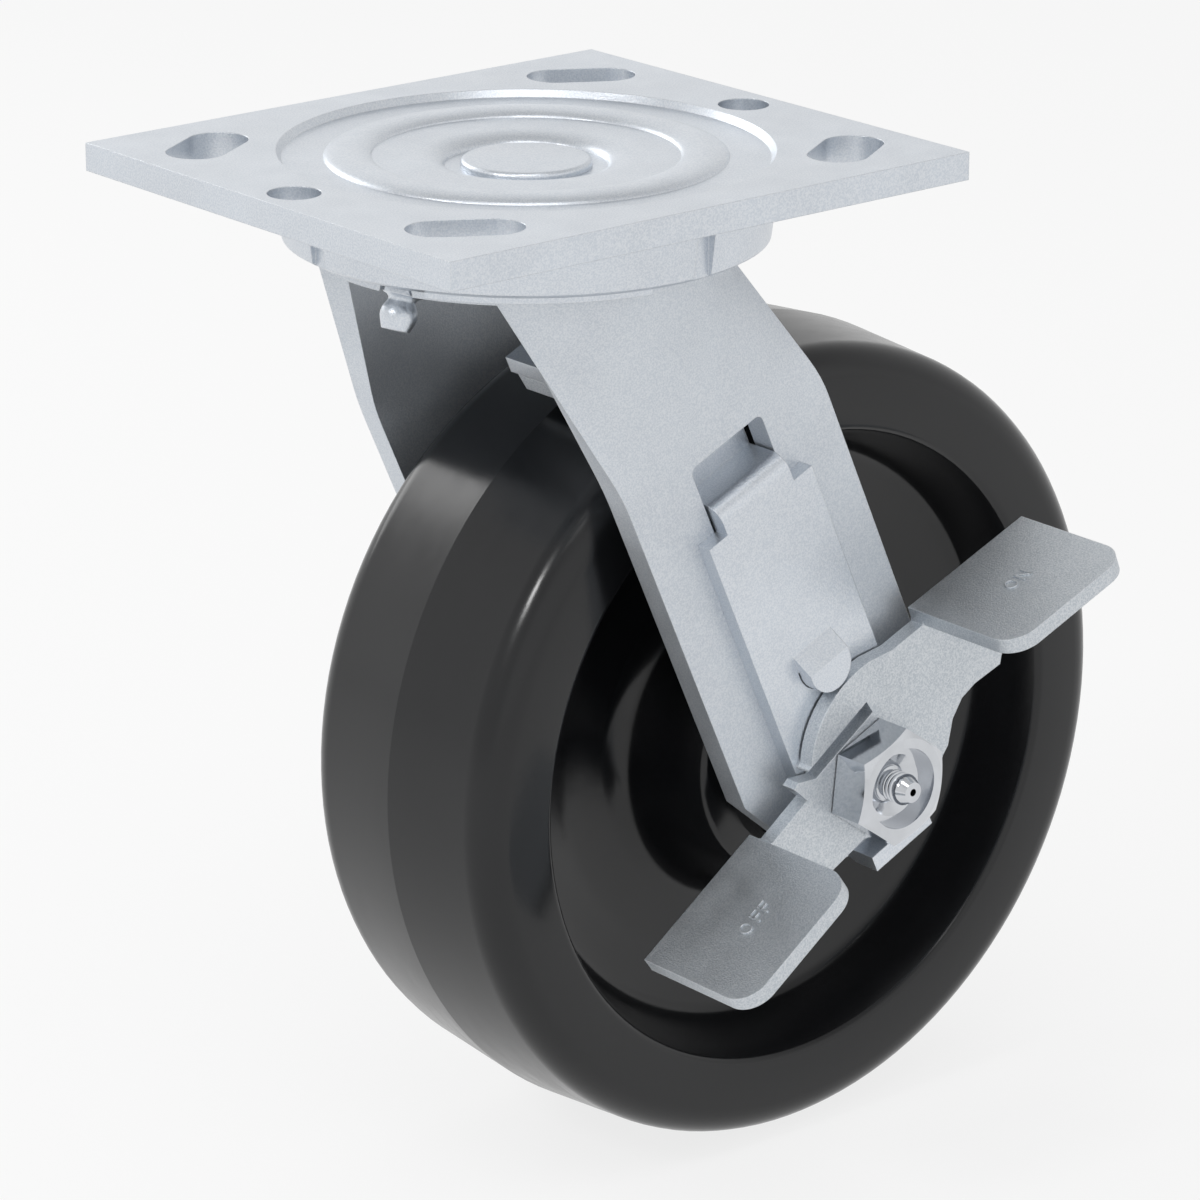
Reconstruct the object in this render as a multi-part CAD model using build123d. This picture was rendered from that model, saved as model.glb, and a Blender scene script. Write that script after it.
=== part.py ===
import math
import os

from build123d import *

os.makedirs("parts", exist_ok=True)

# Frame: origin at the centre of the plate's top face, on the swivel axis.
# Z is up, X is the way the wheel trails, the brake is on the -Y side. All sizes in mm.

# Main sizes
PLATE_X = 114.3
PLATE_Y = 101.6
PLATE_T = 5.0
TRAIL = 44.45
WHEEL_D = 152.4
WHEEL_W = 50.8
# From the plate's top face down to the tread
SWIVEL_ROOM = 38.1
# From the wheel's side to the inner face of a leg
SIDE_ROOM = 6.6
SHEET = 5.0
STRAP_T = 3.2
LEVER_T = 3.1

# Clearances
RUN = 0.08
GAP = 0.3
CAM_PLAY = 0.45

HEIGHT = WHEEL_D + SWIVEL_ROOM
TREAD_R = WHEEL_D / 2
AXLE_Z = TREAD_R - HEIGHT
AXLE_R = 6.3
LEG_IN = WHEEL_W / 2 + SIDE_ROOM
LEG_OUT = LEG_IN + SHEET
STRAP_OUT = LEG_OUT + STRAP_T
LEVER_IN = STRAP_OUT + GAP
LEVER_OUT = LEVER_IN + LEVER_T

# The brake strap and the fork legs run along one line from the axle, leaning forward.
LEAN = 24.4
UP = (-math.sin(math.radians(LEAN)), 0, math.cos(math.radians(LEAN)))
ACROSS = (math.cos(math.radians(LEAN)), 0, math.sin(math.radians(LEAN)))
AXLE = (TRAIL, 0, AXLE_Z)

# Side plane along the legs: x is across the leg, y is up the leg, z is outward on the brake side.
leg_plane = Plane(origin=AXLE, x_dir=ACROSS, z_dir=(0, -1, 0))
# Side plane square to the frame: x is X, y is Z, z is outward on the brake side.
side_plane = Plane(origin=AXLE, x_dir=(1, 0, 0), z_dir=(0, -1, 0))
# Plane across the strap: x is outward on the brake side, y is up the leg, z is along ACROSS.
bend_plane = Plane(origin=AXLE, x_dir=(0, -1, 0), z_dir=tuple(-c for c in ACROSS))


def save(shape, name):
    solids = shape.solids()
    piece = solids[0] if len(solids) == 1 else Compound(children=list(solids))
    export_step(piece, f"parts/{name}.step")


def ring(r_out, r_in, z_low, z_high):
    height = z_high - z_low
    body = Cylinder(r_out, height) - Cylinder(r_in, height + 2)
    return Pos(0, 0, (z_low + z_high) / 2) * body


def rod(r, y_low, y_high):
    body = Rot(90, 0, 0) * Cylinder(r, y_high - y_low)
    return Pos(TRAIL, (y_low + y_high) / 2, AXLE_Z) * body


def turned(points):
    # Points are (radius, height) pairs, turned about the swivel axis.
    with BuildSketch(Plane.XZ) as profile:
        Polygon(*points, align=None)
    return revolve(profile.sketch, Axis.Z)


def arc_points(cx, cy, r, start, finish, steps):
    # Points along an arc, for a turned profile
    turn = [math.radians(start + (finish - start) * i / steps) for i in range(steps + 1)]
    return [(cx + r * math.cos(a), cy + r * math.sin(a)) for a in turn]


def rounded_box(plane, x_low, x_high, y_low, y_high, low, high, radius):
    with BuildSketch(plane.offset(low)) as outline:
        with Locations(((x_low + x_high) / 2, (y_low + y_high) / 2)):
            RectangleRounded(x_high - x_low, y_high - y_low, radius)
    return extrude(outline.sketch, high - low)


# Swivel bearing sizes
BALL_R = 3.97
BALL_PITCH = 30.8
BALL_COUNT = 22
LOW_BALL_R = 2.38
LOW_BALL_PITCH = 17.0
LOW_BALL_COUNT = 20
BASE_R = BALL_PITCH + 6.6
BASE_T = 5.8
CUP_GAP = 1.8
CUP_IN_R = BASE_R + CUP_GAP
PRESS_R = CUP_IN_R + 4.1
RECESS = 1.3
DISH = 1.9
DISH_R = 19.6
DISH_FLOOR = -RECESS - DISH
FACE_UNDER = -PLATE_T - RECESS
BALL_Z = FACE_UNDER - 3.0
BASE_TOP = BALL_Z - 2.9
BASE_BOTTOM = BASE_TOP - BASE_T
LOW_BALL_Z = BASE_BOTTOM + 1.3 - LOW_BALL_R
PIN_R = 8.0
PIN_HEAD_R = PIN_R + 3.45
PIN_HEAD_EDGE = 0.85

# Bolt slots and holes, from the plate's ends and sides
SLOT_END = 11.11
SLOT_SIDE = 12.7
SLOT_RUN_X = 7.94
SLOT_RUN_Y = 4.76
SLOT_W = 10.7
HOLE_END = 7.05
HOLE_R = 4.6


# Top plate
def make_top_plate():
    plate = Pos(0, 0, -PLATE_T / 2) * Box(PLATE_X, PLATE_Y, PLATE_T)
    plate += ring(PRESS_R - 1.3, DISH_R + 0.4, FACE_UNDER, -1.0)
    # Centre pressing: a step down, a raised bead over the ball track and a dish at the pin
    floor = -RECESS
    bead, half = BALL_PITCH + 0.2, 4.2
    dish = [(0, 1), (PRESS_R, 1), (PRESS_R, 0), (PRESS_R - 0.9, floor), (bead + half, floor)]
    for i in range(1, 12):
        a = math.pi * i / 12
        dish.append((bead + half * math.cos(a), floor + 1.15 * math.sin(a)))
    dish += [(bead - half, floor), (DISH_R, floor)]
    for i in range(1, 9):
        a = math.pi / 2 * i / 8
        dish.append((DISH_R - 5.4 * math.sin(a), floor - DISH * (1 - math.cos(a))))
    dish += [(0, DISH_FLOOR)]
    plate -= turned(dish)
    plate += ring(DISH_R + 1.4, PIN_R, DISH_FLOOR - PLATE_T, DISH_FLOOR - 0.8)
    plate -= Cylinder(PIN_R + 0.05, 40)
    # Slots for the bolts, turned toward the swivel axis
    for sx in (-1, 1):
        for sy in (-1, 1):
            far = (PLATE_X / 2 - SLOT_END, PLATE_Y / 2 - SLOT_SIDE)
            a = (sx * (far[0] - SLOT_RUN_X), sy * far[1])
            b = (sx * far[0], sy * (far[1] - SLOT_RUN_Y))
            mid = ((a[0] + b[0]) / 2, (a[1] + b[1]) / 2)
            length = math.dist(a, b)
            angle = math.degrees(math.atan2(b[1] - a[1], b[0] - a[0]))
            slot = extrude(SlotCenterToCenter(length, SLOT_W), 20)
            plate -= Pos(mid[0], mid[1], -10) * Rot(0, 0, angle) * slot
        plate -= Pos(sx * (PLATE_X / 2 - HOLE_END), 0, -PLATE_T) * Cylinder(HOLE_R, 4 * PLATE_T)
    # Ball track under the bead
    track = Pos(0, 0, BALL_Z) * Torus(BALL_PITCH, BALL_R + RUN)
    return plate - track - ring(BALL_PITCH + 3.0, BALL_PITCH - 3.0, BASE_TOP, BALL_Z + 1.5)


# Race cup under the plate
CUP_BOTTOM = BASE_TOP - 3.4


def make_race_cup():
    cup = turned([(CUP_IN_R, -PLATE_T), (PRESS_R + 0.5, -PLATE_T), (PRESS_R - 0.7, CUP_BOTTOM + 0.8),
                  (PRESS_R - 2.1, CUP_BOTTOM), (CUP_IN_R, CUP_BOTTOM)])
    # Its inner shoulder is the outer wall of the upper ball track.
    low, inner = BASE_TOP + 1.2, BALL_PITCH + 4.8
    cup += turned([(PRESS_R - 1.3, FACE_UNDER), (PRESS_R - 1.3, low), (inner, low), (inner, FACE_UNDER)])
    cup -= ring(PRESS_R - 1.3, 1.0, FACE_UNDER, 0)
    # A lower lip runs round the cup on the brake side, from the grease fitting to the near leg.
    lip = ring(CUP_IN_R + 1.7, CUP_IN_R - 0.4, CUP_BOTTOM - 1.1, CUP_BOTTOM)
    turn = [math.radians(a) for a in range(206, 263, 4)]
    sector = [(0, 0)] + [(60 * math.cos(a), 60 * math.sin(a)) for a in turn]
    cup += lip & extrude(Pos(0, 0, CUP_BOTTOM - 4) * Polygon(*sector, align=None), 20)
    # Locking notches pressed in the wall
    for angle in (40, 175, 275):
        cup -= Rot(0, 0, angle) * Pos(PRESS_R - 0.3, 0, CUP_BOTTOM + 4.6) * Box(2.4, 4.2, 13.0)
    return cup


# Kingpin and the lower bearing
LOW_RACE_TOP = LOW_BALL_Z - 1.0
LOW_RACE_BOTTOM = LOW_BALL_Z - LOW_BALL_R - 1.8
PIN_END = LOW_RACE_BOTTOM - 3.0


def make_kingpin():
    low, top, round_r = DISH_FLOOR, DISH_FLOOR + 1.4, PIN_HEAD_EDGE
    edge = arc_points(PIN_HEAD_R - round_r, top - round_r, round_r, 0, 90, 6)
    head = turned([(0, low), (PIN_HEAD_R, low)] + edge + [(0, top)])
    shank = turned([(0, low), (PIN_R, low), (PIN_R, LOW_RACE_BOTTOM), (0, LOW_RACE_BOTTOM)])
    foot = turned([(0, LOW_RACE_BOTTOM), (PIN_R + 3.0, LOW_RACE_BOTTOM), (PIN_R + 3.0, PIN_END + 1.5),
                   (PIN_R + 1.0, PIN_END), (0, PIN_END)])
    return head + shank + foot


def make_lower_race():
    outer = LOW_BALL_PITCH + 3.4
    race = turned([(PIN_R, LOW_RACE_BOTTOM), (outer - 1.0, LOW_RACE_BOTTOM),
                   (outer, LOW_RACE_BOTTOM + 1.0), (outer, LOW_RACE_TOP), (PIN_R, LOW_RACE_TOP)])
    return race - Pos(0, 0, LOW_BALL_Z) * Torus(LOW_BALL_PITCH, LOW_BALL_R + RUN)


def make_pin_spacer():
    # Sleeve on the pin that sets the bearing play, between the plate and the lower race
    return ring(PIN_R + 3.0, PIN_R, LOW_RACE_TOP, DISH_FLOOR - PLATE_T)


def make_balls(count, pitch, radius, z):
    balls = [Rot(0, 0, 360 / count * i) * Pos(pitch, 0, z) * Sphere(radius) for i in range(count)]
    return Compound(children=balls)


# Fork, with a window in the near leg for the tongue of the brake strap
TONGUE_HALF = 8.35
SHOULDER = TREAD_R - 16.0
LEG_HALF = 23.4
LEG_TAPER = 8.4
LEG_END_R = 17.5
# The bend line, up the leg from the axle: just over the tread in front, lower at the rear
BEND_FRONT = TREAD_R + 1.7
BEND_REAR = TREAD_R - 4.8
BEND_RUN = 4.0
# Ends of the wrap on the fork base, along X
WRAP_FRONT = -(BASE_R - 10.1)
WRAP_REAR = BASE_R - 15.8


def point(across, up, out):
    # A point from its place across the leg, up the leg and outward on the brake side
    return Vector(*AXLE) + Vector(*ACROSS) * across + Vector(*UP) * up + Vector(0, -out, 0)


def tangent_end(half, corner, radius):
    # End of a strap that narrows from its corners onto a round end about the axle
    away = math.hypot(half, corner)
    start = math.atan2(corner, -half) + math.acos(radius / away)
    finish = math.pi * 3 - start
    steps = 16
    arc = [start + (finish - start) * i / steps for i in range(steps + 1)]
    return [(radius * math.cos(a), radius * math.sin(a)) for a in arc]


def make_leg():
    low_front, low_rear = BEND_FRONT - BEND_RUN, BEND_REAR - BEND_RUN
    outline = [(-LEG_HALF, low_front), (-LEG_HALF, LEG_TAPER)]
    outline += tangent_end(LEG_HALF, LEG_TAPER, LEG_END_R)
    outline += [(LEG_HALF, LEG_TAPER), (LEG_HALF, low_rear)]
    with BuildSketch(leg_plane.offset(LEG_IN)) as flat:
        Polygon(*outline, align=None)
    leg = extrude(flat.sketch, SHEET)

    # The upper part bends inward in front and behind, and wraps round to the edge of the round fork base.
    def rim(radius, share):
        # The cut edges stand square to the sheet, so both faces end at the same angles.
        front = 2 * math.pi - math.acos(WRAP_FRONT / BASE_R)
        rear = 2 * math.pi - math.acos(WRAP_REAR / BASE_R)
        a = front + (rear - front) * share
        return Vector(radius * math.cos(a), radius * math.sin(a), BASE_BOTTOM)

    def bend_point(radius, out, share, step):
        # Steps 0 to 4 run round the bend, from the flat leg to the slanting wrap.
        up = BEND_FRONT + (BEND_REAR - BEND_FRONT) * share
        bend = point(-LEG_HALF + 2 * LEG_HALF * share, up, out)
        before = bend - Vector(*UP) * BEND_RUN
        after = bend + (rim(radius, share) - bend).normalized() * BEND_RUN
        t = step / 4
        return before * (1 - t) ** 2 + bend * (2 * t * (1 - t)) + after * t ** 2

    def section(outer, inner):
        return Wire([outer, Line(outer @ 1, inner @ 0), inner, Line(inner @ 1, outer @ 0)])

    shares = [i / 8 for i in range(9)]
    sections = []
    for step in range(5):
        outer = [bend_point(BASE_R, LEG_OUT, share, step) for share in shares]
        inner = [bend_point(BASE_R - SHEET, LEG_IN, share, step) for share in reversed(shares)]
        sections.append(section(Spline(*outer), Spline(*inner)))
    outer = [rim(BASE_R, share) for share in (0, 0.5, 1)]
    inner = [rim(BASE_R - SHEET, share) for share in (1, 0.5, 0)]
    sections.append(section(ThreePointArc(*outer), ThreePointArc(*inner)))
    return leg + Solid.make_loft(sections, ruled=True)


def make_fork():
    base = ring(BASE_R, PIN_R + 4.2, BASE_BOTTOM, BASE_TOP)
    leg = make_leg()
    half = TONGUE_HALF + 0.4
    low, high = SHOULDER - 1.3, SHOULDER + 13.4
    window = rounded_box(leg_plane, -half, half, low, high, LEG_IN - 6, LEG_OUT + 3, 1.5)
    fork = base + (leg - window) + mirror(leg, about=Plane.XZ)
    fork -= rod(AXLE_R + 0.15, -2 * LEG_OUT, 2 * LEG_OUT)
    fork -= Pos(0, 0, BALL_Z) * Torus(BALL_PITCH, BALL_R + RUN)
    fork -= Pos(0, 0, LOW_BALL_Z) * Torus(LOW_BALL_PITCH, LOW_BALL_R + RUN)
    # Spot face and hole for the swivel's grease fitting
    fork -= fitting_place() * Pos(0, 0, 2) * Cylinder(FLANGE_R + 0.6, 4)
    fork -= fitting_place() * Pos(0, 0, -2) * Cylinder(SHANK_R, 5)
    return fork


# Grease fittings
FITTING_R = BASE_R - 2.5
FITTING_TURN = 194.5
FITTING_TILT = 22
SHANK_R = 1.6
FLANGE_R = 3.47


def fitting_place():
    # Seat in the front corner of the fork base's underside: z runs down and outward.
    return Rot(0, 0, FITTING_TURN) * Pos(FITTING_R, 0, BASE_BOTTOM + 0.25) * Rot(0, 180 - FITTING_TILT, 0)


def make_swivel_fitting():
    profile = [(0, -4), (SHANK_R, -4), (SHANK_R, 0), (FLANGE_R, 0), (FLANGE_R, 0.95), (2.75, 1.2), (2.4, 1.6),
               (2.35, 1.95), (2.55, 2.4), (2.85, 2.9), (3.1, 3.5), (3.22, 4.2), (3.2, 4.8), (3.0, 5.5),
               (2.45, 7.0), (0.5, 7.0), (0.5, 5.5), (0, 5.5)]
    return fitting_place() * turned(profile)


NUT_IN = LEVER_OUT + 0.2
NUT_T = 7.7
NUT_OUT = NUT_IN + NUT_T
BOLT_END = NUT_OUT - 2.4
BOLT_DISH = 1.6


def along_axle(body, start, outward=-1):
    # Places a body turned about Z so that its Z runs outward from a distance along the axle.
    return Pos(TRAIL, outward * start, AXLE_Z) * Rot(-90 * outward, 0, 0) * body


def make_axle_fitting():
    profile = [(0, -6), (2.6, -6), (2.6, -BOLT_DISH), (3.3, -BOLT_DISH), (3.3, -1.1), (2.6, -0.9),
               (2.55, -0.5)]
    for low in (-0.3, 0.6, 1.5):
        # Rings round the neck
        profile += [(2.85, low), (2.85, low + 0.4), (2.55, low + 0.6), (2.55, low + 0.7)]
    profile += [(2.9, 2.6), (2.9, 3.0), (1.9, 4.9), (0.7, 4.9), (0.7, 0.0), (0, 0.0)]
    return along_axle(turned(profile), BOLT_END)


# Axle
def hexagon(across_flats, low, high, turn, chamfer):
    # A hexagon whose outer corners are turned off to a cone
    corner = across_flats / 2 / math.cos(math.radians(30))
    body = Rot(0, 0, turn) * extrude(Pos(0, 0, low) * RegularPolygon(corner, 6), high - low)
    flat = across_flats / 2 - 0.2
    rise = (corner + 1 - flat) * chamfer
    cone = turned([(0, low - 1), (corner + 1, low - 1), (corner + 1, high - rise), (flat, high), (0, high)])
    return body & cone


HEX_FLATS = 19.05
HEAD_T = 7.6


def make_axle_bolt():
    bolt = rod(AXLE_R, -BOLT_END, LEG_OUT + 1)
    bolt += along_axle(hexagon(HEX_FLATS, 0, HEAD_T, 12, 0.5), LEG_OUT, 1)
    # Dished end with the seat of the grease fitting
    bolt -= along_axle(turned([(0, 0.1), (5.9, 0.1), (3.4, -BOLT_DISH), (0, -BOLT_DISH)]), BOLT_END)
    bolt -= along_axle(Pos(0, 0, -3) * Cylinder(2.6, 6.0), BOLT_END)
    # Grease way to the middle of the wheel bearing
    bolt -= rod(1.5, -BOLT_END + 5.5, 0)
    bolt -= Pos(TRAIL, -1.5, AXLE_Z + 5) * Cylinder(1.5, 10)
    return bolt


def make_axle_nut():
    nut = along_axle(hexagon(HEX_FLATS, 0, NUT_T, 24, 0.5), NUT_IN)
    # A turned recess round the bolt's end
    low, wide = BOLT_END - NUT_IN, AXLE_R + 1.2
    bore = turned([(0, -1), (AXLE_R + 0.9, -1), (AXLE_R, 0.9), (AXLE_R, low), (wide, low),
                   (wide, NUT_T + 1), (0, NUT_T + 1)])
    return nut - along_axle(bore, NUT_IN)


SLEEVE_R = 9.525


def make_bearing_sleeve():
    body = rod(SLEEVE_R, -LEG_IN, LEG_IN) - rod(AXLE_R + 0.05, -LEG_IN - 1, LEG_IN + 1)
    return body - Pos(TRAIL, 0, AXLE_Z + 7) * Cylinder(1.5, 10)


HUB_HALF = LEG_IN - 1.4


def make_thrust_washer(side):
    low, high = sorted((side * (HUB_HALF + 0.2), side * LEG_IN))
    return rod(17.0, low, high) - rod(SLEEVE_R + 0.05, low - 1, high + 1)


SPACER_R = 7.25


def make_lever_spacer():
    return rod(SPACER_R, -NUT_IN, -LEG_OUT) - rod(AXLE_R + 0.05, -NUT_IN - 1, -LEG_OUT + 1)


# Wheel and its roller bearing
ROLLER_R = 2.45
ROLLER_PITCH = SLEEVE_R + ROLLER_R + RUN
BORE_R = ROLLER_PITCH + ROLLER_R + RUN
ROLLER_COUNT = 12
ROLLER_HALF = HUB_HALF - 3.1
WEB_HALF = 8.2
RIM = 15.6


def make_wheel():
    half = WHEEL_W / 2
    edge = 6.0
    rim = TREAD_R - RIM
    side = [(0, TREAD_R), (half - edge, TREAD_R - 1.5)]
    side += arc_points(half - edge, TREAD_R - 1.5 - edge, edge, 84, 0, 7)
    side += arc_points(half - 1.6, rim, 1.6, 0, -70, 4)
    side += arc_points(WEB_HALF + 6.4, rim - 9.1, 4.0, 104, 165, 4)
    side += [(WEB_HALF + 1.2, rim - 13.6), (WEB_HALF, rim - 18.6), (WEB_HALF, BORE_R + 21.4)]
    side += arc_points(WEB_HALF + 5.8, BORE_R + 19.4, 5.8, 180, 240, 4)
    side += arc_points(HUB_HALF - 7.0, BORE_R + 8.0, 1.6, 80, 10, 3)
    side += [(HUB_HALF - 5.0, BORE_R + 4.0), (HUB_HALF, BORE_R + 3.6), (HUB_HALF, BORE_R + 0.8)]
    side += [(HUB_HALF - 0.8, BORE_R)]
    outline = side + [(-x, y) for x, y in reversed(side) if x > 0]
    with BuildSketch(Plane.YZ) as profile:
        Polygon(*outline, align=None)
    wheel = revolve(profile.sketch, Axis.Y)
    return Pos(*AXLE) * wheel


def make_rollers():
    rollers = []
    for i in range(ROLLER_COUNT):
        a = math.radians(360 / ROLLER_COUNT * i)
        spot = Pos(TRAIL + ROLLER_PITCH * math.cos(a), 0, AXLE_Z + ROLLER_PITCH * math.sin(a))
        rollers.append(spot * Rot(90, 0, 0) * Cylinder(ROLLER_R, 2 * ROLLER_HALF))
    return Compound(children=rollers)


def make_roller_cage():
    half = HUB_HALF - 0.5
    cage = rod(ROLLER_PITCH + 1.0, -half, half) - rod(ROLLER_PITCH - 1.0, -half - 1, half + 1)
    for i in range(ROLLER_COUNT):
        a = 360 / ROLLER_COUNT * i
        pocket = Pos(ROLLER_PITCH, 0, 0) * Box(4, 2 * ROLLER_HALF + 0.6, 2 * ROLLER_R + 0.2)
        cage -= Pos(*AXLE) * Rot(0, a, 0) * pocket
    return cage


# Brake strap with its tongue and tabs
STRAP_HALF = 12.9
TRAVEL = 2.9
TURN = 30.0
TAB_HALF = 4.75
TAB_LOW = 20.75
TAB_CUT = 0.15
LOW_TAB_UP = -13.0
LOW_TAB_HALF = 7.3
TREAD_GAP = 3.2
SHOE_T = 3.0


def make_strap():
    outline = [(-STRAP_HALF, SHOULDER), (-STRAP_HALF, 2.0), (-LOW_TAB_HALF, LOW_TAB_UP + 2),
               (-LOW_TAB_HALF, LOW_TAB_UP - 1), (LOW_TAB_HALF, LOW_TAB_UP - 1),
               (LOW_TAB_HALF, LOW_TAB_UP + 2), (STRAP_HALF, 2.0), (STRAP_HALF, SHOULDER)]
    with BuildSketch(leg_plane.offset(LEG_OUT)) as flat:
        Polygon(*outline, align=None)
        with Locations((0, TRAVEL / 2)):
            wide = 2 * (SPACER_R + GAP)
            SlotOverall(TRAVEL + wide, wide, rotation=90, mode=Mode.SUBTRACT)
    strap = extrude(flat.sketch, STRAP_T)
    # Lower tab, bent outward
    low = LOW_TAB_UP - STRAP_T
    strap += extrude_across([(LEG_OUT, LOW_TAB_UP - 0.5), (LEG_OUT, low + 2.6), (LEG_OUT + 0.8, low + 0.8),
                             (LEG_OUT + 2.6, low), (LEVER_OUT + 1.6, low), (LEVER_OUT + 1.6, LOW_TAB_UP),
                             (STRAP_OUT, LOW_TAB_UP)], LOW_TAB_HALF)
    # Tongue: through the window, up the inside of the leg and over the tread
    rise_out = LEG_IN - 1.0
    rise_in = rise_out - STRAP_T
    mid_low = SHOULDER + 2.4
    mid_high = mid_low + STRAP_T
    top = TREAD_R + TREAD_GAP + SHOE_T + STRAP_T
    tongue = extrude_across([(LEG_OUT, SHOULDER - 0.2), (LEG_OUT, mid_low), (rise_in, mid_low),
                             (rise_in, top - STRAP_T), (-7.8, top - STRAP_T), (-7.8, top), (rise_out, top),
                             (rise_out, mid_high), (STRAP_OUT, mid_high), (STRAP_OUT, SHOULDER - 0.2)],
                            TONGUE_HALF)
    for up, out, radius in ((mid_high, STRAP_OUT, 3.3), (mid_low, rise_in, 3.6), (top, rise_out, 3.6)):
        corner = point(0, up, out)
        tongue = fillet(min(tongue.edges(), key=lambda e: (e.center() - corner).length), radius)
    strap += tongue
    # Upper tab, cut round its lower end and pressed outward by one thickness
    tab_bend = TAB_LOW + 5.85
    tab_top = tab_bend + 3.5
    behind = LEG_OUT - 1
    strap -= tab_column(behind, STRAP_T + 2, tab_bend, TAB_CUT)
    strap -= extrude_across([(behind, tab_bend - 0.5), (STRAP_OUT, tab_bend - 0.5), (STRAP_OUT, tab_bend),
                             (LEG_OUT, tab_bend + 2.4), (behind, tab_bend + 2.4)], TAB_HALF + TAB_CUT)
    tab_out = STRAP_OUT + STRAP_T
    side = extrude_across([(STRAP_OUT, TAB_LOW - 1), (tab_out, TAB_LOW - 1), (tab_out, tab_bend),
                           (STRAP_OUT, tab_top), (STRAP_OUT - 1.6, tab_top),
                           (STRAP_OUT - 1.6, tab_bend + 1.6), (STRAP_OUT, tab_bend)], TAB_HALF + 2)
    return strap + (side & tab_column(behind, STRAP_T + 8, tab_top + 2, 0))


def tab_column(out, depth, up, grow):
    # A column with the tab's outline: round below, straight sides up to a height
    centre, half = TAB_LOW + TAB_HALF, TAB_HALF + grow
    turn = [math.pi * (1 + i / 16) for i in range(17)]
    outline = [(half * math.cos(a), centre + half * math.sin(a)) for a in turn]
    outline += [(half, up), (-half, up)]
    with BuildSketch(leg_plane.offset(out)) as area:
        Polygon(*outline, align=None)
    return extrude(area.sketch, depth)


def extrude_across(points, half):
    with BuildSketch(bend_plane) as outline:
        Polygon(*points, align=None)
    return extrude(outline.sketch, half, both=True)


def make_brake_shoe():
    low, high = TREAD_R + TREAD_GAP, TREAD_R + TREAD_GAP + SHOE_T
    return extrude_across([(5.8, high), (4.9, low), (-4.9, low), (-5.8, high)], TONGUE_HALF)


# Brake lever
PADDLE_OUT = LEVER_IN + 27.1
CAM_RISE = TRAVEL / TURN


def turned_point(angle, along, off):
    a = math.radians(angle)
    return (along * math.cos(a) - off * math.sin(a), along * math.sin(a) + off * math.cos(a))


def make_paddle(angle, start, end, off_low, off_high):
    # A foot paddle bent square to the lever, with rounded outer corners
    base = side_plane.location * Rot(0, 0, angle)
    with BuildSketch() as face:
        with Locations(((start + end) / 2, 0)):
            Rectangle(end - start, PADDLE_OUT - LEVER_IN)
        outer = face.vertices().sort_by(Axis.Y)[-2:]
        fillet(outer, 5.5)
    slab = extrude(face.sketch, off_high - off_low)
    return base * (Pos(0, off_high, (PADDLE_OUT + LEVER_IN) / 2) * Rot(90, 0, 0) * slab)


def make_lever():
    up, low = 22.3, 35.6
    lobe = []
    for angle in range(160, 88, -6):
        # The upper lobe falls away under the upper tab as the strap comes down.
        r = TAB_LOW - CAM_PLAY - CAM_RISE * (angle - (90 + LEAN))
        lobe.append((r * math.cos(math.radians(angle)), r * math.sin(math.radians(angle))))
    cam = []
    for step in range(7):
        # Lower cam: its reach toward the lower tab grows evenly with the turn.
        swing = TURN * (1 - step / 6)
        a = math.radians(270 + LEAN + swing)
        reach, rate = -LOW_TAB_UP - CAM_PLAY + CAM_RISE * swing, math.degrees(CAM_RISE)
        cam.append((reach * math.cos(a) - rate * math.sin(a), reach * math.sin(a) + rate * math.cos(a)))
    # From the curved slot at the top left, round the lower arm, the cam and the upper arm
    arm = [(-15.9, 4.6), (-2.05, 14.7), (-0.45, 12.4), (-13.85, 3.0), (-18.0, 3.1), (-19.1, 2.1)]
    arm += [(-18.1, 1.3), (-15.85, -0.7), turned_point(low, -23.5, 8.5), turned_point(low, -24.9, 10.0)]
    arm += [turned_point(low, -44, 10.0), turned_point(low, -42, 3.0), turned_point(low, -30, -7.0)]
    arm += [(-9.3, -15.6), (-1.8, -11.5), (2.0, -11.6), (6.0, -11.2)]
    arm += list(reversed(cam))
    arm += [(17.2, 0.0), (18.4, 1.6), (19.4, 6.5), (21.6, 10.0), (24.75, 12.1), (31.0, 14.4)]
    arm += [(31.4, 16.4), turned_point(up, 41, 21.5), turned_point(up, 21.0, 21.5)]
    arm += [turned_point(up, 20.4, 20.0), (4.05, 23.2)]
    arm += list(reversed(lobe))
    with BuildSketch(side_plane.offset(LEVER_IN)) as flat:
        Polygon(*arm, align=None)
        Circle(SPACER_R + RUN, mode=Mode.SUBTRACT)
    lever = extrude(flat.sketch, LEVER_T)
    lever += make_paddle(up, 20.7, 50.8, 19.8, 22.8)
    lever += make_paddle(low, -54.8, -24.9, 8.2, 11.2)
    return lever


save(make_top_plate(), "top_plate")
save(make_race_cup(), "race_cup")
save(make_kingpin(), "kingpin")
save(make_lower_race(), "lower_race")
save(make_pin_spacer(), "pin_spacer")
save(make_balls(BALL_COUNT, BALL_PITCH, BALL_R, BALL_Z), "upper_balls")
save(make_balls(LOW_BALL_COUNT, LOW_BALL_PITCH, LOW_BALL_R, LOW_BALL_Z), "lower_balls")
save(make_fork(), "fork")
save(make_swivel_fitting(), "swivel_fitting")
save(make_axle_bolt(), "axle_bolt")
save(make_axle_nut(), "axle_nut")
save(make_axle_fitting(), "axle_fitting")
save(make_bearing_sleeve(), "bearing_sleeve")
save(make_thrust_washer(-1), "thrust_washer_near")
save(make_thrust_washer(1), "thrust_washer_far")
save(make_lever_spacer(), "lever_spacer")
save(make_wheel(), "wheel")
save(make_rollers(), "rollers")
save(make_roller_cage(), "roller_cage")
save(make_strap(), "brake_strap")
save(make_brake_shoe(), "brake_shoe")
save(make_lever(), "brake_lever")
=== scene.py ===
import math

import bmesh
import bpy
from mathutils import Matrix, Vector


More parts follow.
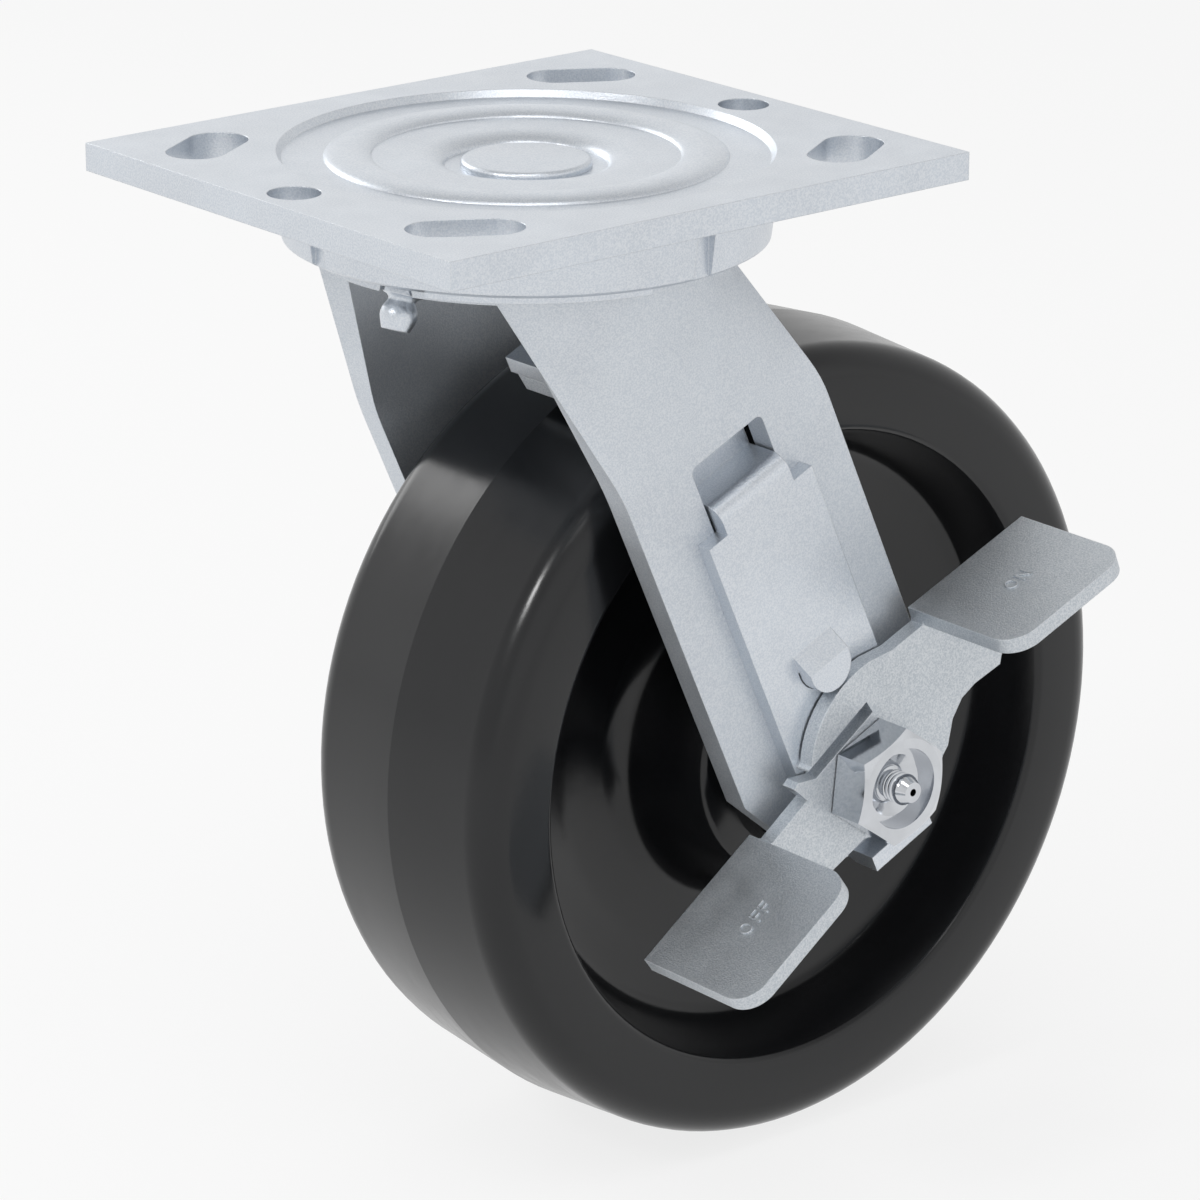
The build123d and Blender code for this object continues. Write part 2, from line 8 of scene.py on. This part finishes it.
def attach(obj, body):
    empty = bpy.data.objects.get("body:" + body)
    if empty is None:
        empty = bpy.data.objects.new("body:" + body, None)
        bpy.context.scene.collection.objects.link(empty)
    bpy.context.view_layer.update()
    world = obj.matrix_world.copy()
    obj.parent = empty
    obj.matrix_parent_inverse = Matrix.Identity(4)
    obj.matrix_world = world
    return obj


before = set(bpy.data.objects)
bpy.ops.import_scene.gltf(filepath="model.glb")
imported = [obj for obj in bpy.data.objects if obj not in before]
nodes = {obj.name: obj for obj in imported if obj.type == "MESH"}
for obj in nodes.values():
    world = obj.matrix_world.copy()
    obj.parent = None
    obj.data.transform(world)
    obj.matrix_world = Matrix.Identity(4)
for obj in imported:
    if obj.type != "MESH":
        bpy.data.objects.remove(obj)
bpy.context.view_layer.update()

MM = 0.001
AXLE = Vector((44.45, 0, -114.3)) * MM
FLOOR_Z = -190.5 * MM

# Camera, fitted to the photograph
EYE = Vector((-556.93, -681.61, 218.94)) * MM
TARGET = Vector((33.105, 19.096, -95.0)) * MM
ROLL = 0.228
FOCAL_PIXELS = 5227.4
PHOTO_PIXELS = 1200
SENSOR_MM = 36


def make_camera():
    roll = math.radians(ROLL)
    forward = (TARGET - EYE).normalized()
    right = forward.cross(Vector((0, 0, 1))).normalized()
    up = right.cross(forward)
    side = right * math.cos(roll) + up * math.sin(roll)
    top = up * math.cos(roll) - right * math.sin(roll)
    turn = Matrix((side, top, -forward)).transposed()
    data = bpy.data.cameras.new("camera")
    data.sensor_width = SENSOR_MM
    data.lens = FOCAL_PIXELS / PHOTO_PIXELS * SENSOR_MM
    data.clip_start, data.clip_end = 0.05, 100
    camera = bpy.data.objects.new("camera", data)
    camera.matrix_world = Matrix.Translation(EYE) @ turn.to_4x4()
    bpy.context.scene.collection.objects.link(camera)
    bpy.context.scene.camera = camera


# Node helpers, for any tree
def add_node(tree, kind, **values):
    node = tree.nodes.new(kind)
    for key, value in values.items():
        setattr(node, key, value)
    return node


def maths(tree, operation, *sources):
    # Each source is a socket or a float.
    node = add_node(tree, "ShaderNodeMath", operation=operation)
    for socket, source in zip(node.inputs, sources):
        if isinstance(source, float):
            socket.default_value = source
        else:
            tree.links.new(source, socket)
    return node.outputs[0]


def soft_step(tree, source, start, end, low, high):
    # Goes gently from low to high while the source goes from start to end
    node = add_node(tree, "ShaderNodeMapRange", interpolation_type="SMOOTHSTEP")
    for name, value in zip(("From Min", "From Max", "To Min", "To Max"), (start, end, low, high)):
        node.inputs[name].default_value = value
    tree.links.new(source, node.inputs["Value"])
    return node.outputs["Result"]


def ray_share(tree, *kinds):
    # 1 for rays of these kinds, and 0 for all others
    path = tree.nodes.new("ShaderNodeLightPath")
    share = path.outputs[kinds[0]]
    for kind in kinds[1:]:
        share = maths(tree, "MAXIMUM", share, path.outputs[kind])
    return share


# Materials
class Nodes:
    def __init__(self, name):
        self.material = bpy.data.materials.new(name)
        self.material.use_nodes = True
        self.tree = self.material.node_tree
        self.shader = self.tree.nodes["Principled BSDF"]
        self.place = self.add("ShaderNodeTexCoord").outputs["Object"]

    def add(self, kind, **values):
        return add_node(self.tree, kind, **values)

    def link(self, a, b):
        self.tree.links.new(a, b)

    def noise(self, scale, detail=3.0, rough=0.55, stretch=None):
        node = self.add("ShaderNodeTexNoise")
        node.inputs["Scale"].default_value = scale
        node.inputs["Detail"].default_value = detail
        node.inputs["Roughness"].default_value = rough
        source = self.place
        if stretch:
            mapping = self.add("ShaderNodeMapping")
            mapping.inputs["Scale"].default_value = stretch
            self.link(source, mapping.inputs["Vector"])
            source = mapping.outputs["Vector"]
        self.link(source, node.inputs["Vector"])
        return node.outputs["Fac"]

    def ramp(self, source, stops):
        # Each stop is a place and a colour, or a place and a plain level.
        node = self.add("ShaderNodeValToRGB")
        ends = node.color_ramp.elements
        for end, (place, colour) in zip(ends, stops):
            end.position = place
            end.color = (*colour, 1) if isinstance(colour, tuple) else (colour, colour, colour, 1)
        self.link(source, node.inputs["Fac"])
        return node.outputs["Color"]

    def mix(self, a, b, share, mode="MIX"):
        node = self.add("ShaderNodeMix", data_type="RGBA", blend_type=mode)
        if isinstance(share, float):
            node.inputs[0].default_value = share
        else:
            self.link(share, node.inputs[0])
        self.link(a, node.inputs[6])
        self.link(b, node.inputs[7])
        return node.outputs[2]

    def bump(self, source, strength, distance, before=None):
        node = self.add("ShaderNodeBump")
        node.inputs["Strength"].default_value = strength
        node.inputs["Distance"].default_value = distance
        self.link(source, node.inputs["Height"])
        if before:
            self.link(before, node.inputs["Normal"])
        return node.outputs["Normal"]

    def rounded(self, radius):
        node = self.add("ShaderNodeBevel", samples=4)
        node.inputs["Radius"].default_value = radius
        return node.outputs["Normal"]

    def edge_mask(self, radius, strength=0.7):
        # Up to full strength along sharp edges, where the rounded normal leaves the true one, else 0
        true = self.add("ShaderNodeNewGeometry").outputs["Normal"]
        dot = self.add("ShaderNodeVectorMath", operation="DOT_PRODUCT")
        self.link(true, dot.inputs[0])
        self.link(self.rounded(radius), dot.inputs[1])
        mask = self.add("ShaderNodeMapRange")
        mask.inputs["From Min"].default_value = 0.995
        mask.inputs["From Max"].default_value = 0.90
        mask.inputs["To Max"].default_value = strength
        self.link(dot.outputs["Value"], mask.inputs["Value"])
        return mask.outputs["Result"]

    def set(self, **values):
        for key, value in values.items():
            self.shader.inputs[key.replace("_", " ")].default_value = value

    def feed(self, **sources):
        for key, source in sources.items():
            self.link(source, self.shader.inputs[key.replace("_", " ")])


EDGE_ROUND = 0.25 * MM
EDGE_WEAR = 0.4 * MM
WORN_DARK = (0.70, 0.73, 0.76)
WORN_LIGHT = (0.74, 0.77, 0.80)


def zinc(name, dark, light, roughness, metal, spread, grain_bump):
    # Zinc-plated pressed steel: fine sparkling grain, soft cloudy patches, brighter worn edges
    m = Nodes(name)
    grain = m.noise(3200, 1.0, 0.6)
    clouds = m.noise(38, 4.0, 0.6)
    rolling = m.noise(260, 2.0, 0.5, (1.0, 0.12, 1.0))
    body = m.ramp(clouds, [(0.3, dark), (0.7, light)])
    fine = m.ramp(grain, [(0.36, 0.5 - spread), (0.64, 0.5 + spread)])
    worn = m.edge_mask(EDGE_WEAR)
    body = m.mix(body, m.ramp(rolling, [(0.0, WORN_DARK), (1.0, WORN_LIGHT)]), worn)
    m.feed(Base_Color=m.mix(body, fine, 0.5, "OVERLAY"))
    low, high = roughness - 0.06, roughness + 0.06
    m.feed(Roughness=m.ramp(m.noise(120, 4.0, 0.65), [(0.25, low), (0.75, high)]))
    m.set(Metallic=metal)
    normal = m.bump(grain, grain_bump, 0.06 * MM, m.rounded(EDGE_ROUND))
    m.feed(Normal=m.bump(rolling, 0.06, 0.05 * MM, normal))
    return m.material


def bright_steel(name, tone, roughness):
    # Bright plated turned steel with fine tool marks
    m = Nodes(name)
    dark = tuple(c * 0.88 for c in tone)
    marks = m.noise(900, 2.0, 0.5, (1.0, 6.0, 1.0))
    m.feed(Base_Color=m.ramp(m.noise(150, 3.0), [(0.3, dark), (0.7, tone)]))
    m.feed(Roughness=m.ramp(marks, [(0.3, roughness), (0.7, roughness + 0.10)]))
    m.set(Metallic=1.0)
    m.feed(Normal=m.bump(marks, 0.08, 0.03 * MM))
    return m.material


def wheel_plastic(name, dark, light):
    # Black moulded plastic: slight orange peel, uneven gloss from faint scuffs
    m = Nodes(name)
    peel = m.noise(420, 2.0, 0.5)
    scuff = m.noise(90, 5.0, 0.7, (1.0, 3.0, 1.0))
    m.feed(Base_Color=m.ramp(m.noise(30, 4.0), [(0.3, dark), (0.7, light)]))
    m.feed(Roughness=m.ramp(scuff, [(0.3, 0.17), (0.8, 0.27)]))
    m.set(Specular_IOR_Level=0.45)
    m.feed(Normal=m.bump(peel, 0.10, 0.08 * MM))
    return m.material


def nylon(name, dark, light):
    # Natural moulded nylon with a satin surface
    m = Nodes(name)
    m.feed(Base_Color=m.ramp(m.noise(200, 3.0), [(0.3, dark), (0.7, light)]))
    m.feed(Roughness=m.ramp(m.noise(500, 3.0), [(0.3, 0.42), (0.7, 0.55)]))
    m.feed(Normal=m.bump(m.noise(900, 2.0), 0.1, 0.04 * MM))
    return m.material


ZINC = zinc("zinc_plate", (0.65, 0.685, 0.73), (0.69, 0.73, 0.78),
            roughness=0.34, metal=0.92, spread=0.17, grain_bump=0.7)
ZINC_FORK = zinc("zinc_plate_fork", (0.65, 0.685, 0.73), (0.69, 0.73, 0.775),
                 roughness=0.50, metal=0.75, spread=0.17, grain_bump=0.8)
# A darker copy of the same zinc for the lever and brake shoe: painted shade for parts that sit in shadow,
# with stronger grain
ZINC_GRAINY_SHADED = zinc("zinc_plate_grainy_shaded", (0.57, 0.605, 0.64), (0.62, 0.655, 0.69),
                   roughness=0.46, metal=0.88, spread=0.20, grain_bump=1.2)
BRIGHT = bright_steel("bright_steel", (0.64, 0.66, 0.69), 0.06)
BEARING = bright_steel("bearing_steel", (0.60, 0.60, 0.61), 0.16)
BLACK = wheel_plastic("wheel_black", (0.005, 0.0054, 0.0064), (0.008, 0.0085, 0.0098))
NYLON = nylon("cage_nylon", (0.62, 0.60, 0.52), (0.72, 0.70, 0.62))


# Shading of the carried-over nodes: vertices joined, edges under the angle shown smooth
def smooth_group(name, degrees, crisp_crown=False):
    tree = bpy.data.node_groups.new(name, "GeometryNodeTree")
    tree.interface.new_socket("Geometry", in_out="INPUT", socket_type="NodeSocketGeometry")
    tree.interface.new_socket("Geometry", in_out="OUTPUT", socket_type="NodeSocketGeometry")
    link = tree.links.new
    start = add_node(tree, "NodeGroupInput")
    end = add_node(tree, "NodeGroupOutput")
    merge = add_node(tree, "GeometryNodeMergeByDistance")
    merge.inputs["Distance"].default_value = 1e-6
    faces = add_node(tree, "GeometryNodeSetShadeSmooth", domain="FACE")
    edges = add_node(tree, "GeometryNodeSetShadeSmooth", domain="EDGE")
    angle = add_node(tree, "GeometryNodeInputMeshEdgeAngle")
    flat = add_node(tree, "FunctionNodeCompare", data_type="FLOAT", operation="LESS_THAN")
    flat.inputs[1].default_value = math.radians(degrees)
    link(start.outputs[0], merge.inputs["Geometry"])
    link(merge.outputs[0], faces.inputs["Geometry"])
    link(faces.outputs[0], edges.inputs["Geometry"])
    link(angle.outputs["Unsigned Angle"], flat.inputs[0])
    smooth = flat.outputs[0]
    if crisp_crown:
        # The crown of the tread, where Y is 0, stays a crisp line.
        place = add_node(tree, "GeometryNodeInputPosition")
        split = add_node(tree, "ShaderNodeSeparateXYZ")
        off_crown = add_node(tree, "FunctionNodeCompare", data_type="FLOAT", operation="GREATER_THAN")
        off_crown.inputs[1].default_value = 0.02 * MM
        both = add_node(tree, "FunctionNodeBooleanMath")
        link(place.outputs[0], split.inputs[0])
        link(maths(tree, "ABSOLUTE", split.outputs["Y"]), off_crown.inputs[0])
        link(smooth, both.inputs[0])
        link(off_crown.outputs[0], both.inputs[1])
        smooth = both.outputs[0]
    link(smooth, edges.inputs["Shade Smooth"])
    link(edges.outputs[0], end.inputs[0])
    return tree


SMOOTH = smooth_group("smooth_32", 32)
SMOOTH_NUT = smooth_group("smooth_20", 20)
SMOOTH_WHEEL = smooth_group("smooth_wheel", 32, crisp_crown=True)

FINISHES = (
    (ZINC, SMOOTH, ("top_plate", "race_cup", "kingpin", "lower_race", "brake_strap", "thrust_washer_near",
                    "thrust_washer_far", "lever_spacer", "swivel_fitting")),
    # The lever and brake shoe take the darker zinc copy, which is painted shade
    (ZINC_GRAINY_SHADED, SMOOTH, ("brake_lever", "brake_shoe")),
    (ZINC_FORK, SMOOTH, ("fork",)),
    (BRIGHT, SMOOTH_NUT, ("axle_bolt", "axle_nut")),
    (BRIGHT, SMOOTH, ("axle_fitting",)),
    (BEARING, SMOOTH, ("pin_spacer", "upper_balls", "lower_balls", "bearing_sleeve", "rollers")),
    (BLACK, SMOOTH_WHEEL, ("wheel",)),
    (NYLON, SMOOTH, ("roller_cage",)),
)


def dress(name, material, smooth):
    node = nodes[name]
    node.data.materials.clear()
    node.data.materials.append(material)
    for polygon in node.data.polygons:
        polygon.material_index = 0
    modifier = node.modifiers.new("smooth", "NODES")
    modifier.node_group = smooth


for material, smooth, names in FINISHES:
    for name in names:
        dress(name, material, smooth)


# ON and OFF on the foot paddles, as thin raised strokes
LETTER_H = 2.5 * MM
STROKE = 0.4 * MM
RAISED = 0.25 * MM
SUNK = 0.05 * MM
FLAT_SHARE = 0.85


def oval(width, height, steps=24):
    turns = [2 * math.pi * i / steps for i in range(steps)]
    return [(width / 2 * (1 + math.cos(a)), height / 2 * (1 + math.sin(a))) for a in turns]


# Each letter: its width, whether its strokes are closed, and their points, with its height as 1
LETTERS = {
    "O": (0.78, True, [oval(0.78, 1.0)]),
    "N": (0.72, False, [[(0, 0), (0, 1)], [(0, 1), (0.72, 0)], [(0.72, 0), (0.72, 1)]]),
    "F": (0.55, False, [[(0, 0), (0, 1)], [(0, 1), (0.55, 1)], [(0, 0.52), (0.45, 0.52)]]),
}


def add_stroke(mesh, points, closed, to_world):
    # A low ridge along the points: sunk feet, sloping sides and a flat top
    count = len(points)
    section = ((-1, -SUNK), (-FLAT_SHARE, RAISED), (FLAT_SHARE, RAISED), (1, -SUNK))
    rows = []
    for i, here in enumerate(points):
        before = points[i - 1] if closed or i > 0 else here
        after = points[(i + 1) % count] if closed or i < count - 1 else here
        along = (after - before).normalized()
        side = Vector((-along.y, along.x))
        if not closed:
            # Open ends reach out by half a stroke.
            here = here + along * (STROKE / 2) * (1 if i else -1)
        rows.append([mesh.verts.new(to_world(here + side * (STROKE / 2) * share, height))
                     for share, height in section])
    for i in range(count if closed else count - 1):
        a, b = rows[i], rows[(i + 1) % count]
        for j in range(4):
            k = (j + 1) % 4
            mesh.faces.new((a[j], b[j], b[k], a[k]))
    if not closed:
        mesh.faces.new(rows[0])
        mesh.faces.new(rows[-1][::-1])


def make_word(name, word, gaps, angle, along, off, across):
    # On a paddle turned by angle from X: the word runs along the paddle, its tops toward +Y.
    # Its middle is along, off and across from the axle, and gaps lie between its letters, all in mm.
    a = math.radians(angle)
    run = Vector((math.cos(a), 0, math.sin(a)))
    rise = Vector((0, 1, 0))
    face = Vector((-math.sin(a), 0, math.cos(a)))
    widths = [LETTERS[letter][0] * LETTER_H for letter in word]
    left = along * MM - (sum(widths) + sum(gaps) * MM) / 2

    def to_world(p, height):
        return AXLE + run * p.x + rise * (across * MM + p.y) + face * (off * MM + height)

    mesh = bmesh.new()
    for letter, width, gap in zip(word, widths, gaps + (0,)):
        closed, strokes = LETTERS[letter][1:]
        for points in strokes:
            places = [Vector((left + x * LETTER_H, (y - 0.5) * LETTER_H)) for x, y in points]
            add_stroke(mesh, places, closed, to_world)
        left += width + gap * MM
    bmesh.ops.recalc_face_normals(mesh, faces=mesh.faces)
    data = bpy.data.meshes.new(name)
    mesh.to_mesh(data)
    mesh.free()
    data.materials.append(ZINC_GRAINY_SHADED)
    piece = bpy.data.objects.new(name, data)
    bpy.context.scene.collection.objects.link(piece)
    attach(piece, "lever")


make_word("paddle_letters_on", "ON", gaps=(1.2,), angle=22.3, along=35.7, off=22.8, across=-53.9)
make_word("paddle_letters_off", "OFF", gaps=(1.4, 0.8), angle=35.6, along=-39.1, off=11.2, across=-55.1)


# Stage: pale floor, white surround and soft lamps
FLOOR_HALF = 6.0
FLOOR_TONE = 0.86
FLOOR_GLOW = 0.80
AMBIENT = 0.60
MIDDLE = (0.03, 0, -0.09)


def make_floor():
    mesh = bpy.data.meshes.new("floor")
    signs = ((-1, -1), (1, -1), (1, 1), (-1, 1))
    mesh.from_pydata([(x * FLOOR_HALF, y * FLOOR_HALF, FLOOR_Z) for x, y in signs], [], [(0, 1, 2, 3)])
    thing = bpy.data.objects.new("floor", mesh)
    bpy.context.scene.collection.objects.link(thing)
    # The glow is mixed in for camera and glossy rays alone, so it shows in the picture and in reflections.
    material = bpy.data.materials.new("floor_pale")
    material.use_nodes = True
    tree = material.node_tree
    tree.nodes.clear()
    out = add_node(tree, "ShaderNodeOutputMaterial")
    mix = add_node(tree, "ShaderNodeMixShader")
    shade = add_node(tree, "ShaderNodeBsdfDiffuse")
    shade.inputs["Color"].default_value = (FLOOR_TONE, FLOOR_TONE, FLOOR_TONE, 1)
    glow = add_node(tree, "ShaderNodeEmission")
    glow.inputs["Strength"].default_value = 1.0
    seen = ray_share(tree, "Is Camera Ray", "Is Glossy Ray")
    tree.links.new(maths(tree, "MULTIPLY", seen, FLOOR_GLOW), mix.inputs[0])
    tree.links.new(shade.outputs[0], mix.inputs[1])
    tree.links.new(glow.outputs[0], mix.inputs[2])
    tree.links.new(mix.outputs[0], out.inputs["Surface"])
    mesh.materials.append(material)


def make_world():
    world = bpy.data.worlds.new("world")
    bpy.context.scene.world = world
    world.use_nodes = True
    tree = world.node_tree
    back = tree.nodes["Background"]
    split = add_node(tree, "ShaderNodeSeparateXYZ")
    tree.links.new(add_node(tree, "ShaderNodeTexCoord").outputs["Generated"], split.inputs[0])
    # What is seen or mirrored: white walls, a greyer ceiling, and the walls toward X a little greyer too
    ceiling = soft_step(tree, split.outputs["Z"], start=0.38, end=0.85, low=1.0, high=0.74)
    sideways = maths(tree, "ABSOLUTE", split.outputs["Y"])
    walls = soft_step(tree, sideways, start=0.50, end=0.78, low=0.80, high=1.0)
    # All other rays, such as those from matt surfaces, meet an even ambient level.
    level = add_node(tree, "ShaderNodeMapRange")
    level.inputs["To Min"].default_value = AMBIENT
    tree.links.new(maths(tree, "MULTIPLY", ceiling, walls), level.inputs["To Max"])
    seen = ray_share(tree, "Is Camera Ray", "Is Glossy Ray", "Is Transmission Ray")
    tree.links.new(seen, level.inputs["Value"])
    back.inputs["Color"].default_value = (1, 1, 1, 1)
    tree.links.new(level.outputs["Result"], back.inputs["Strength"])


def lamp(name, place, size, power):
    data = bpy.data.lights.new(name, "AREA")
    data.shape = "SQUARE"
    data.size = size
    data.energy = power
    light = bpy.data.objects.new(name, data)
    light.location = place
    light.rotation_mode = "QUATERNION"
    light.rotation_quaternion = (Vector(MIDDLE) - Vector(place)).to_track_quat("-Z", "Y")
    bpy.context.scene.collection.objects.link(light)


make_camera()
make_floor()
make_world()
lamp("key", (-0.35, -0.45, 1.00), size=0.60, power=2.2)
lamp("side", (-0.85, -0.08, 0.60), size=0.18, power=2.2)
lamp("rim", (-0.1, 0.95, 0.38), size=0.5, power=2.0)

scene = bpy.context.scene
scene.view_settings.view_transform = "Standard"
